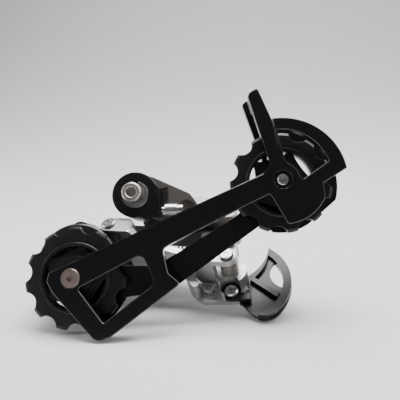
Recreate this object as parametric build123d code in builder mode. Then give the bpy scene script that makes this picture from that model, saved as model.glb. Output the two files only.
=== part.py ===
# Rear bicycle derailleur: slant parallelogram, long cage, two eleven-tooth pulleys and a cable fan.
#
# The part stands as it does on a table, leaning back on its cage. The leaning frame "base" has its
# origin on the hanger bolt's axis, in the face that meets the bicycle; its x runs towards the
# tension pulley, its y up and its z towards the wheel. The four link pins are tilted to it, so the
# parallelogram has a second frame, "link", whose z runs along the pins. Millimetres throughout.
from build123d import *
from math import cos, degrees, pi, radians, sin
import os

os.makedirs("parts", exist_ok=True)

# ---- driving dimensions ----------------------------------------------------------------------
LEAN = 18.5                  # degrees the part leans back
RUN = 0.06                   # radial clearance of a running fit
SEAT = 0.02                  # clearance of pieces fixed to each other
AIR = 0.4                    # gap between faces that pass each other

CHAIN_PITCH = 12.7
TEETH = 11
PULLEY_SPAN = 107.3          # guide pulley to tension pulley
PULLEY_SLOPE = 24.7          # degrees, the line through the pulleys
GUIDE = (-24.0, -42.0)       # guide pulley centre
CAGE_PIVOT = (-27.0, -35.5)  # axis of the spring knuckle
PLATE_T = 3.0                # both cage plates
OUTER_Z = 6.0                # outer plate's back face
INNER_Z = 19.0               # inner plate's back face

BOLT_R = 5.0                 # M10 hanger bolt
BOLT_THREAD = 9.0
PIVOT_R = 6.0                # plain shank of the hanger bolt
KNUCKLE_DEPTH = 25.0
BUSH_T = 1.1                 # wall of the plain bushes

PIN_TILT = (-0.1701, 0.6503, 0.7404)   # direction of the link pins in the base frame
INNER_P = (-15.0, -10.7)     # inner link's pin in the spring knuckle, in the link frame
LINK_LENGTH = 60.0
LINK_DROP = 13.3             # degrees the links fall towards the hanger knuckle
PIN_STEP = 14.0              # from the inner link's pins to the outer link's
PIN_R = 2.25
PIN_HEAD_R = 3.5
PIN_HEAD_T = 1.4
EAR_R = 4.6
EAR_T = 3.5
EAR_BUSH_R = 3.1
TOP_P = -8.5                 # top of the inner link over its knuckle pin
TOP_LOW = -27.5              # top of every other upper ear
BOTTOM = -42.5               # underside of the lower ears
WALL_T = 3.5                 # walls of the links

FAN_R = 27.0                 # cable track of the fan
FAN_TOP = -46.5
FAN_BOTTOM = -51.2

# ---- frames and places -----------------------------------------------------------------------
base = Plane(origin=(0, 0, 0), x_dir=(1, 0, 0),
             z_dir=(0, -cos(radians(LEAN)), sin(radians(LEAN))))
tilt = Vector(*PIN_TILT).normalized()
across = (Vector(1, 0, 0) - tilt * tilt.X).normalized()
link = Plane(origin=(0, 0, 0), x_dir=base.from_local_coords(across),
             z_dir=base.from_local_coords(tilt))


def top_face(builder, frame=base):
    """The face of the part being built that lies furthest along the frame's z."""
    return builder.faces().sort_by(Axis(frame.origin, frame.z_dir))[-1]


def seat(centre, height, frame=base):
    """A plane across the given frame's z at this height, with its origin at centre."""
    return Plane(origin=frame.from_local_coords((*centre, height)),
                 x_dir=frame.x_dir, z_dir=frame.z_dir)


def axis_of(plane):
    return Axis(plane.origin, plane.z_dir)


def turned(plane, *profile):
    """A closed outline of (radius, height) points on the half plane through the plane's own axis."""
    half = Plane(origin=plane.origin, x_dir=plane.x_dir, z_dir=plane.y_dir * -1)
    with BuildSketch(half) as section:
        with BuildLine():
            Polyline(*profile, close=True)
        make_face()
    return section.sketch


def tube(plane, r_in, r_out, low, high):
    """The section of a plain round bar or tube."""
    return turned(plane, (r_in, low), (r_out, low), (r_out, high), (r_in, high))


def polar(radius, angle, centre=(0, 0)):
    return (centre[0] + radius * cos(radians(angle)), centre[1] + radius * sin(radians(angle)))


def between(start, end, share):
    return tuple(a + (b - a) * share for a, b in zip(start, end))


HANGER = (0.0, 0.0)
TENSION = polar(PULLEY_SPAN, PULLEY_SLOPE, GUIDE)
LINK_ANGLE = -LINK_DROP
OUTER_P = (INNER_P[0], INNER_P[1] + PIN_STEP)
INNER_B = polar(LINK_LENGTH, LINK_ANGLE, INNER_P)
OUTER_B = polar(LINK_LENGTH, LINK_ANGLE, OUTER_P)
TONGUE_LOW = BOTTOM + EAR_T + AIR
TONGUE_HIGH = TOP_LOW - EAR_T - AIR
EAR_POCKET_R = EAR_R + 0.7


def from_guide(x, y):
    return (GUIDE[0] + x, GUIDE[1] + y)


def from_tension(x, y):
    return (TENSION[0] + x, TENSION[1] + y)


# ---- hanger bolt: M10 thread towards the bicycle, plain shank, socket head behind ---------------
HEAD_R, HEAD_T, HEX_R = 9.0, 4.2, 2.9
BOLT_RECESS_R = 2.6
GROOVE_R, GROOVE_T = 4.5, 1.5
FACE_GAP = 0.1               # washer plate and clip sit this far behind the hanger's face
HEAD_Z = -KNUCKLE_DEPTH - AIR
hanger = seat(HANGER, 0)
with BuildPart() as hanger_bolt:
    revolve(turned(hanger, (0, HEAD_Z - HEAD_T), (HEAD_R - 1, HEAD_Z - HEAD_T),
                   (HEAD_R, HEAD_Z - HEAD_T + 1),
                   (HEAD_R, HEAD_Z), (PIVOT_R, HEAD_Z), (PIVOT_R, -GROOVE_T), (GROOVE_R, -GROOVE_T),
                   (GROOVE_R, 0),
                   (BOLT_R, 0), (BOLT_R, BOLT_THREAD - 0.8),
                   (BOLT_R - 0.8, BOLT_THREAD), (BOLT_RECESS_R + 0.5, BOLT_THREAD),
                   (BOLT_RECESS_R, BOLT_THREAD - 0.5), (BOLT_RECESS_R, BOLT_THREAD - 2),
                   (0, BOLT_THREAD - 2)), axis=axis_of(hanger))
    with BuildSketch(seat(HANGER, HEAD_Z - HEAD_T)):
        RegularPolygon(HEX_R, 6)
    extrude(amount=3, mode=Mode.SUBTRACT)
hanger_bolt.part.label = "hanger_bolt"
export_step(hanger_bolt.part, "parts/hanger_bolt.step")

# ---- spring clip that keeps the bolt in the knuckle ---------------------------------------------
CLIP_R = 7.3
clip_back = -GROOVE_T + SEAT
with BuildPart() as bolt_clip:
    revolve(turned(hanger, (GROOVE_R + SEAT, clip_back), (CLIP_R, clip_back), (CLIP_R, -FACE_GAP - 0.4),
                   (CLIP_R - 0.4, -FACE_GAP), (GROOVE_R + SEAT, -FACE_GAP)), axis=axis_of(hanger))
    with BuildSketch(hanger.offset(-GROOVE_T - 1)):
        with Locations((0, CLIP_R)):
            Rectangle(3.0, 2 * CLIP_R)
    extrude(amount=GROOVE_T + 2, mode=Mode.SUBTRACT)
bolt_clip.part.label = "bolt_clip"
export_step(bolt_clip.part, "parts/bolt_clip.step")

# ---- tension plate: black washer plate with the tab that the adjusting screw leans on -----------
PLATE_R, TENSION_T = 12.0, 2.0
TAB_X, TAB_T = 10.9, 2.4
TAB_LOW, TAB_HIGH = -7.4, 1.2
TAB_FOOT, TAB_TOP = -9.0, 1.4
with BuildPart() as tension_plate:
    with BuildSketch(seat(HANGER, -TENSION_T)):
        Circle(PLATE_R)
        with BuildLine():
            FilletPolyline((-8.0, -8.0), (4.4, -12.4), (8.6, -13.0), (TAB_X + TAB_T, -9.0),
                           (TAB_X + TAB_T, 3.0),
                           (6.6, 10.0), radius=1.5, close=True)
        make_face()
        Circle(PIVOT_R + SEAT, mode=Mode.SUBTRACT)
    extrude(amount=TENSION_T - FACE_GAP)
    chamfer(top_face(tension_plate).edges(), 0.3)
    with BuildSketch(seat(HANGER, -GROOVE_T)):
        Circle(CLIP_R + 0.3)
    extrude(amount=GROOVE_T, mode=Mode.SUBTRACT)
    with BuildSketch(base.offset(TAB_LOW)):
        with Locations((TAB_X + TAB_T / 2, (TAB_FOOT + TAB_TOP) / 2)):
            Rectangle(TAB_T, TAB_TOP - TAB_FOOT)
    extrude(amount=TAB_HIGH - TAB_LOW)
tension_plate.part.label = "tension_plate"
export_step(tension_plate.part, "parts/tension_plate.step")

# ---- hanger knuckle: barrel on the bolt, front lobe, rear arm with the link tongue --------------
BARREL_R = 12.0
LOBE_BACK, LOBE_FRONT = -22.0, -4.0
SCREW_POCKET, SCREW_POCKET_R, SCREW_POCKET_T = (27.0, -7.0), 4.8, 6.4
ARM_LOW, ARM_HIGH = BOTTOM + 0.5, -20.0
TONGUE_EXTRA = 9.6           # how far the tongue runs on past the outer link's pin into the arm
STOP_C, STOP_H, STOP_R = 15.0, -38.4, 4.3      # cable stop: place across the links, height, radius
STOP_START, STOP_LENGTH = -6.5, 20.0
FERRULE_R, FERRULE_T, CABLE_HOLE_R = 2.55, 9.0, 0.9
SWEEP = 30.0                 # degrees the knuckle can swing back
ADJUST_Y, ADJUST_Z, ADJUST_R = -7.7, -2.6, 1.5
ADJUST_BARREL_R = 3.1
LIMIT_S, LIMIT_H = (22.0, 29.0), -34.0
LIMIT_R = 1.5
SPRING_R, SPRING_WIRE, SPRING_H = 2.3, 0.55, -35.0
SPRING_EYE_R = PIN_R + 0.1 + SPRING_WIRE
SPRING_SLIT = 2 * SPRING_WIRE + 0.8
BUSH_R = PIVOT_R + RUN + BUSH_T


def link_edge(s, gap):
    """How far across the links the outer link's edge reaches at s, and a gap beyond it."""
    return OUTER_B[1] + (s - OUTER_B[0]) * sin(radians(LINK_ANGLE)) / cos(radians(LINK_ANGLE)) + EAR_R + gap


along_links = Plane(origin=link.from_local_coords((STOP_START, STOP_C, STOP_H)),
                    x_dir=link.y_dir, z_dir=link.x_dir)
with BuildPart() as hanger_knuckle:
    revolve(turned(hanger, (0, -KNUCKLE_DEPTH), (BARREL_R - 1.2, -KNUCKLE_DEPTH),
                   (BARREL_R, -KNUCKLE_DEPTH + 1.2),
                   (BARREL_R, -TENSION_T - AIR - 0.6), (BARREL_R - 0.6, -TENSION_T - AIR),
                   (0, -TENSION_T - AIR)),
            axis=axis_of(hanger))
    with BuildSketch(base.offset(LOBE_BACK)):
        with BuildLine():
            FilletPolyline((2.0, 11.8), (9.0, 9.9), (28.6, 1.0), (33.6, -6.0), (29.0, -14.0),
                           (18.0, -14.2), (5.0, -10.2), radius=[1, 2, 4, 5, 5, 3, 1], close=True)
        make_face()
    extrude(amount=LOBE_FRONT - LOBE_BACK)
    with BuildSketch(link.offset(ARM_LOW)):
        with BuildLine():
            FilletPolyline((-5, link_edge(-5, 1.3)), (36, link_edge(36, 1.3)),
                           (39, OUTER_B[1] + EAR_R + 1.4),
                           (49, OUTER_B[1] + EAR_R + 1.4), (50.5, 1), (47, 8), (30, 15), (10, 20),
                           (-4, 20),
                           radius=[1, 1, 1, 3, 3, 3, 3, 3, 3], close=True)
        make_face()
    extrude(amount=ARM_HIGH - ARM_LOW)
    with BuildSketch(link.offset(TONGUE_LOW)):
        with Locations(between(INNER_B, OUTER_B, (1 + TONGUE_EXTRA / PIN_STEP) / 2)):
            SlotCenterToCenter(PIN_STEP + TONGUE_EXTRA, 2 * EAR_R, rotation=90)
    extrude(amount=TONGUE_HIGH - TONGUE_LOW)
    with BuildSketch(along_links):
        Circle(STOP_R)
    extrude(amount=STOP_LENGTH)
    # bolt bore and the sweep of the tension plate's tab
    with BuildSketch(seat(HANGER, -KNUCKLE_DEPTH - 1)):
        Circle(BUSH_R + SEAT)
    extrude(amount=KNUCKLE_DEPTH + 1, mode=Mode.SUBTRACT)
    with BuildSketch(seat(HANGER, -KNUCKLE_DEPTH - 20)):
        Circle(HEAD_R + AIR)
    extrude(amount=20, mode=Mode.SUBTRACT)
    with BuildSketch(seat(HANGER, TAB_LOW - AIR)):
        with BuildLine():
            Line((0, 0), polar(17.2, 16))
            ThreePointArc(polar(17.2, 16), polar(17.2, -32), polar(17.2, -48 - SWEEP))
            Line(polar(17.2, -48 - SWEEP), (0, 0))
        make_face()
        Circle(10.2, mode=Mode.SUBTRACT)
    extrude(amount=10, mode=Mode.SUBTRACT)
    # round pocket for the adjusting screw's head, and its thread
    with BuildSketch(seat(SCREW_POCKET, LOBE_FRONT - SCREW_POCKET_T)):
        Circle(SCREW_POCKET_R)
    extrude(amount=SCREW_POCKET_T + 5, mode=Mode.SUBTRACT)
    with BuildSketch(Plane(origin=base.from_local_coords((14, ADJUST_Y, ADJUST_Z)), x_dir=base.y_dir,
                           z_dir=base.x_dir)):
        Circle(ADJUST_BARREL_R + SEAT)
    extrude(amount=SCREW_POCKET[0] - 14, mode=Mode.SUBTRACT)
    # ferrule bore of the cable stop and the cable's way through it
    with BuildSketch(along_links):
        Circle(FERRULE_R)
    extrude(amount=FERRULE_T, mode=Mode.SUBTRACT)
    with BuildSketch(along_links):
        Circle(CABLE_HOLE_R)
    extrude(amount=60, mode=Mode.SUBTRACT)
    # pin bores and limit screw threads
    for pin in (INNER_B, OUTER_B):
        with BuildSketch(seat(pin, TONGUE_LOW - 1, link)):
            Circle(PIN_R + SEAT)
        extrude(amount=TONGUE_HIGH - TONGUE_LOW + 2, mode=Mode.SUBTRACT)
    for place in LIMIT_S:
        with BuildSketch(Plane(origin=link.from_local_coords((place, 30, LIMIT_H)), x_dir=link.x_dir,
                               z_dir=link.y_dir * -1)):
            Circle(LIMIT_R + RUN)
        extrude(amount=45, mode=Mode.SUBTRACT)
    # slit for the eye of the return spring, and its swing with the links
    with BuildSketch(seat(OUTER_B, SPRING_H - SPRING_SLIT / 2, link)):
        Circle(SPRING_EYE_R + SPRING_WIRE + AIR)
        with BuildLine():
            Line((0, 0), polar(16, 155))
            ThreePointArc(polar(16, 155), polar(16, 205), polar(16, 255))
            Line(polar(16, 255), (0, 0))
        make_face()
    extrude(amount=SPRING_SLIT, mode=Mode.SUBTRACT)
hanger_knuckle.part.label = "hanger_knuckle"
export_step(hanger_knuckle.part, "parts/hanger_knuckle.step")

# ---- bushes that the hanger bolt turns in -------------------------------------------------------
BUSH_LENGTH = 8.0
with BuildPart() as hanger_bushes:
    for low in (-KNUCKLE_DEPTH, -TENSION_T - AIR - BUSH_LENGTH):
        revolve(tube(hanger, PIVOT_R + RUN, BUSH_R, low, low + BUSH_LENGTH), axis=axis_of(hanger))
hanger_bushes.part.label = "hanger_bushes"
export_step(hanger_bushes.part, "parts/hanger_bushes.step")

# ---- threaded barrel and screw that set how far the knuckle hangs back ------------------------
ADJUST_START, ADJUST_BARREL_LENGTH = 15.9, 6.4
ADJUST_HEAD_R, ADJUST_HEAD_T = 2.7, 2.4
adjust = Plane(origin=base.from_local_coords((TAB_X + TAB_T, ADJUST_Y, ADJUST_Z)), x_dir=base.y_dir,
               z_dir=base.x_dir)
adjust_offset = ADJUST_START - TAB_X - TAB_T
with BuildPart() as adjust_barrel:
    revolve(tube(adjust, ADJUST_R + RUN, ADJUST_BARREL_R, adjust_offset,
                 adjust_offset + ADJUST_BARREL_LENGTH),
            axis=axis_of(adjust))
adjust_barrel.part.label = "adjust_barrel"
export_step(adjust_barrel.part, "parts/adjust_barrel.step")

adjust_tail = adjust_offset + ADJUST_BARREL_LENGTH + 0.3
with BuildPart() as adjust_screw:
    revolve(turned(adjust, (0, 0.3), (ADJUST_R - 0.4, 0.3), (ADJUST_R, 0.8), (ADJUST_R, adjust_tail),
                   (ADJUST_HEAD_R, adjust_tail), (ADJUST_HEAD_R, adjust_tail + ADJUST_HEAD_T),
                   (0, adjust_tail + ADJUST_HEAD_T)), axis=axis_of(adjust))
    with BuildSketch(adjust.offset(adjust_tail + ADJUST_HEAD_T - 1.5)):
        RegularPolygon(1.3, 6)
    extrude(amount=2, mode=Mode.SUBTRACT)
adjust_screw.part.label = "adjust_screw"
export_step(adjust_screw.part, "parts/adjust_screw.step")

# ---- two limit screws: small sockets through the arm, tips over the outer link -----------------
LIMIT_TIPS = (0.9, 3.6)      # each tip's gap to the outer link
LIMIT_HEAD_R, LIMIT_HEAD_T = 2.5, 2.2
LIMIT_HEAD_C = 20.6
for name, place, tip in zip(("high_limit_screw", "low_limit_screw"), LIMIT_S, LIMIT_TIPS):
    down = Plane(origin=link.from_local_coords((place, LIMIT_HEAD_C + LIMIT_HEAD_T, LIMIT_H)),
                 x_dir=link.x_dir, z_dir=link.y_dir * -1)
    reach = LIMIT_HEAD_C + LIMIT_HEAD_T - link_edge(place, tip)
    with BuildPart() as limit_screw:
        revolve(turned(down, (0, 0), (LIMIT_HEAD_R, 0), (LIMIT_HEAD_R, LIMIT_HEAD_T),
                       (LIMIT_R, LIMIT_HEAD_T),
                       (LIMIT_R, reach - 0.5), (LIMIT_R - 0.5, reach), (0, reach)), axis=axis_of(down))
        with BuildSketch(down):
            RegularPolygon(1.25, 6)
        extrude(amount=1.5, mode=Mode.SUBTRACT)
    limit_screw.part.label = name
    export_step(limit_screw.part, f"parts/{name}.step")

# ---- links: two ears at each end, joined by a wall that leaves room for the spring ------------


def ear(pin, angle, low, thickness):
    """One ear: a round-ended strip from the pin towards the other end of the link."""
    length = 2 * EAR_R
    with BuildSketch(link.offset(low)) as strip:
        with Locations(polar(length / 2, angle, pin)):
            SlotCenterToCenter(length, 2 * EAR_R, rotation=angle)
    extrude(strip.sketch, amount=thickness)


def pin_hole(pin, radius, low, high):
    with BuildSketch(seat(pin, low, link)) as hole:
        Circle(radius)
    extrude(hole.sketch, amount=high - low, mode=Mode.SUBTRACT)


def wall_frame(pin):
    """The upright plane of a link's wall: x along the link from the pin, y along the pins."""
    along = link.x_dir * cos(radians(LINK_ANGLE)) + link.y_dir * sin(radians(LINK_ANGLE))
    return Plane(origin=link.from_local_coords((*pin, 0)), x_dir=along, z_dir=along.cross(link.z_dir))


WALL_START = 6.8
WALL_END = LINK_LENGTH - WALL_START
with BuildPart() as outer_link:
    for pin, angle in ((OUTER_P, LINK_ANGLE), (OUTER_B, LINK_ANGLE + 180)):
        for low in (TOP_LOW - EAR_T, BOTTOM):
            ear(pin, angle, low, EAR_T)
    with BuildSketch(wall_frame(OUTER_P).offset(-EAR_R)):
        with BuildLine():
            FilletPolyline((WALL_START, BOTTOM), (16, BOTTOM), (22, BOTTOM + 3), (38, BOTTOM + 3),
                           (44, BOTTOM),
                           (WALL_END, BOTTOM), (WALL_END, TOP_LOW), (WALL_START, TOP_LOW),
                           radius=[0.3, 3, 3, 3, 3, 0.3, 0.3, 0.3], close=True)
        make_face()
    extrude(amount=WALL_T)
    for pin in (OUTER_P, OUTER_B):
        pin_hole(pin, EAR_BUSH_R + SEAT, BOTTOM - 1, TOP_LOW + 1)
outer_link.part.label = "outer_link"
export_step(outer_link.part, "parts/outer_link.step")

# ---- inner link: silver, tall at the spring knuckle, with the fan's bracket at the other end --
FAN_SCREW = (42.8, -33.3)
BRACKET_R = 8.6
BRACKET_TOP = BOTTOM + EAR_T
BRACKET_LOW, BRACKET_FLOOR = -50.0, -47.2
FAN_EAR_R = 4.9
ANCHOR = (31.2, -30.6)
ANCHOR_R = 1.9
with BuildPart() as inner_link:
    for low in (TOP_P - EAR_T, BOTTOM):
        ear(INNER_P, LINK_ANGLE, low, EAR_T)
    ear(INNER_B, LINK_ANGLE + 180, TOP_LOW - EAR_T, EAR_T)
    with BuildSketch(wall_frame(INNER_P).offset(EAR_R - WALL_T)):
        with BuildLine():
            FilletPolyline((WALL_START, BOTTOM), (14, BOTTOM), (22, BOTTOM + 6), (40, BOTTOM + 5),
                           (44, BOTTOM - 3),
                           (WALL_END, BOTTOM - 3), (WALL_END, TOP_LOW), (44, TOP_LOW + 1.5),
                           (19, TOP_P - 9),
                           (13, TOP_P), (WALL_START, TOP_P),
                           radius=[0.3, 3, 3, 2, 2, 0.3, 0.3, 5, 4, 2, 0.3], close=True)
        make_face()
    extrude(amount=WALL_T)
    # bracket: pivot barrel, floor and left cheek
    with BuildSketch(seat(INNER_B, BRACKET_LOW, link)):
        Circle(BRACKET_R)
    extrude(amount=BRACKET_TOP - BRACKET_LOW)
    with BuildSketch(link.offset(BRACKET_LOW)):
        with BuildLine():
            FilletPolyline((20, -20), (20.6, -29.6), (27.6, -36.6), (46, -38.4), (51, -30), (46, -20),
                           radius=[1, 3, 3, 3, 2, 1], close=True)
        make_face()
    extrude(amount=BRACKET_FLOOR - BRACKET_LOW)
    with BuildSketch(link.offset(BRACKET_LOW)):
        with BuildLine():
            FilletPolyline((20, -20), (20.6, -29.6), (25.4, -34.6), (27.2, -32.6), (24.8, -27.4),
                           (24.8, -20),
                           radius=[1, 2, 0.8, 1.5, 1, 1], close=True)
        make_face()
    extrude(amount=BOTTOM + 5 - BRACKET_LOW)
    with BuildSketch(link.offset(BRACKET_LOW)):
        with BuildLine():
            FilletPolyline((35.6, -19.4), (35.8, -28.6), (38.6, -37.4), (41, -37.6), (44, -30),
                           (44, -19.4),
                           radius=[1, 2, 1, 1, 1, 1], close=True)
        make_face()
    extrude(amount=BRACKET_TOP - BRACKET_LOW - 1.5)
    # flat on the barrel, past which the outer link's ear swings
    with BuildSketch(wall_frame(INNER_P).offset(-EAR_R - AIR)):
        with Locations((LINK_LENGTH, BOTTOM - AIR + 10)):
            Rectangle(40, 20)
    extrude(amount=-10, mode=Mode.SUBTRACT)
    # room for the fan's ear and screw
    with BuildSketch(seat(FAN_SCREW, BRACKET_FLOOR, link)):
        Circle(FAN_EAR_R + 0.3)
    extrude(amount=12, mode=Mode.SUBTRACT)
    for pin, low in ((INNER_P, BOTTOM - 1), (INNER_B, BRACKET_LOW - 1)):
        pin_hole(pin, EAR_BUSH_R + SEAT, low, TOP_P + 1)
    pin_hole(FAN_SCREW, 1.5 + SEAT, BRACKET_LOW - 1, BRACKET_FLOOR + 1)
    pin_hole(ANCHOR, ANCHOR_R + SEAT, BRACKET_LOW - 1, BRACKET_FLOOR + 1)
inner_link.part.label = "inner_link"
export_step(inner_link.part, "parts/inner_link.step")

# ---- plain bushes in the links' ears -----------------------------------------------------------
OPEN_PIVOT_GAP = 0.2         # extra room where the closed linkage is opened


def ear_bush(pin, low, high, bore):
    spot = seat(pin, 0, link)
    revolve(tube(spot, bore, EAR_BUSH_R, low, high), axis=axis_of(spot))


with BuildPart() as outer_link_bushes:
    for pin in (OUTER_P, OUTER_B):
        for low in (BOTTOM, TOP_LOW - EAR_T):
            ear_bush(pin, low, low + EAR_T, PIN_R + RUN)
outer_link_bushes.part.label = "outer_link_bushes"
export_step(outer_link_bushes.part, "parts/outer_link_bushes.step")

with BuildPart() as inner_link_bushes:
    for low in (BOTTOM, TOP_P - EAR_T):
        ear_bush(INNER_P, low, low + EAR_T, PIN_R + OPEN_PIVOT_GAP)
    ear_bush(INNER_B, TOP_LOW - EAR_T, TOP_LOW, PIN_R + RUN)
    ear_bush(INNER_B, BRACKET_LOW, BRACKET_TOP, PIN_R + RUN)
inner_link_bushes.part.label = "inner_link_bushes"
export_step(inner_link_bushes.part, "parts/inner_link_bushes.step")

# ---- link pins: round heads on top, a clip groove below ---------------------------------------
CLIP_GAP, CLIP_WIRE = 0.3, 0.7
PIN_TAIL = 1.6
pins = {
    "inner_knuckle_pin": (INNER_P, BOTTOM, TOP_P),
    "outer_knuckle_pin": (OUTER_P, BOTTOM, TOP_LOW),
    "inner_hanger_pin": (INNER_B, BRACKET_LOW, TOP_LOW),
    "outer_hanger_pin": (OUTER_B, BOTTOM, TOP_LOW),
}
for name, (place, low, high) in pins.items():
    spot = seat(place, 0, link)
    foot = low - CLIP_GAP
    with BuildPart() as link_pin:
        revolve(turned(spot, (0, foot - PIN_TAIL), (PIN_R - 0.3, foot - PIN_TAIL),
                       (PIN_R, foot - PIN_TAIL + 0.3),
                       (PIN_R, foot - CLIP_WIRE), (PIN_R - 0.5, foot - CLIP_WIRE), (PIN_R - 0.5, foot),
                       (PIN_R, foot), (PIN_R, high + 0.2), (PIN_HEAD_R, high + 0.2),
                       (PIN_HEAD_R, high + PIN_HEAD_T - 0.3), (PIN_HEAD_R - 0.5, high + PIN_HEAD_T),
                       (1.3, high + PIN_HEAD_T), (0.9, high + PIN_HEAD_T - 0.4),
                       (0, high + PIN_HEAD_T - 0.4)),
                axis=axis_of(spot))
    link_pin.part.label = name
    export_step(link_pin.part, f"parts/{name}.step")

for name, ends in (("knuckle_pin_clips", ("inner_knuckle_pin", "outer_knuckle_pin")),
                   ("hanger_pin_clips", ("inner_hanger_pin", "outer_hanger_pin"))):
    with BuildPart() as pin_clips:
        for pin in ends:
            place, low, _ = pins[pin]
            with BuildSketch(seat(place, low - CLIP_GAP - CLIP_WIRE + SEAT, link)):
                Circle(PIN_HEAD_R)
                Circle(PIN_R - 0.5 + SEAT, mode=Mode.SUBTRACT)
                with Locations((PIN_HEAD_R, 0)):
                    Rectangle(2 * PIN_HEAD_R, 2.2, mode=Mode.SUBTRACT)
            extrude(amount=CLIP_WIRE - 2 * SEAT)
    pin_clips.part.label = name
    export_step(pin_clips.part, f"parts/{name}.step")

# ---- return spring: coil on the diagonal between the links, its eye round the outer link's pin ----
SPRING_FROM, SPRING_TO = 13.5, 47.5        # the coil's ends, measured from the pin
SPRING_TURNS = 16
HOOK_STEP = 2 * SPRING_WIRE + 0.1          # from the coil's end to the bend of each hook


def spring_point(reach):
    """The point of the spring's axis at this distance from its pin."""
    return spring_frame.from_local_coords((0, 0, reach))


diagonal = link.from_local_coords((*INNER_P, SPRING_H)) - link.from_local_coords((*OUTER_B, SPRING_H))
spring_frame = Plane(origin=link.from_local_coords((*OUTER_B, SPRING_H)), x_dir=link.y_dir, z_dir=diagonal)
with BuildPart() as return_spring:
    with BuildLine():
        coil = Helix((SPRING_TO - SPRING_FROM) / SPRING_TURNS, SPRING_TO - SPRING_FROM, SPRING_R,
                     center=spring_point(SPRING_FROM), direction=spring_frame.z_dir)
    with BuildSketch(Plane(origin=coil @ 0, z_dir=coil % 0)):
        Circle(SPRING_WIRE)
    sweep(path=coil)
    for coil_end, reach, step, far in ((coil @ 0, SPRING_FROM, -HOOK_STEP, SPRING_EYE_R),
                                       (coil @ 1, SPRING_TO, HOOK_STEP, SPRING_TO + 5)):
        bend = spring_point(reach + step)
        rim = coil_end + (bend - spring_point(reach))
        for start, stop in ((spring_point(far), bend), (bend, rim)):
            with BuildSketch(Plane(origin=start, z_dir=stop - start)):
                Circle(SPRING_WIRE)
            extrude(amount=(stop - start).length + SPRING_WIRE * 0.9)
    with Locations(seat(OUTER_B, SPRING_H, link)):
        Torus(SPRING_EYE_R, SPRING_WIRE)
return_spring.part.label = "return_spring"
export_step(return_spring.part, "parts/return_spring.step")

# ---- cable fan: black plastic sector that the cable wraps over, screwed to the bracket -----------
FAN_CENTRE = (INNER_B[0] + 3.3, INNER_B[1] - 1.6)
FAN_TIP = polar(FAN_R, 50.0, FAN_CENTRE)
FAN_HEEL = polar(FAN_R, -51.0, FAN_CENTRE)
RIM_W = 4.2
WEB_LOW, WEB_HIGH = -50.4, -48.6
HUB_CLEAR = BRACKET_R + 0.3


def fan_outline():
    """The whole sector: cable arc, rounded heel, underside back to the bracket, hollow top edge."""
    ThreePointArc(FAN_TIP, polar(FAN_R, 0, FAN_CENTRE), FAN_HEEL)
    ThreePointArc(FAN_HEEL, (57.6, -48.2), (52.2, -45.4))
    Line((52.2, -45.4), (47.2, -38.8))
    Line((47.2, -38.8), (38.4, -37.4))
    Line((38.4, -37.4), (38.4, -31.0))
    Line((38.4, -31.0), (51.8, -23.4))
    ThreePointArc((51.8, -23.4), (58.4, -18.0), FAN_TIP)


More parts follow.
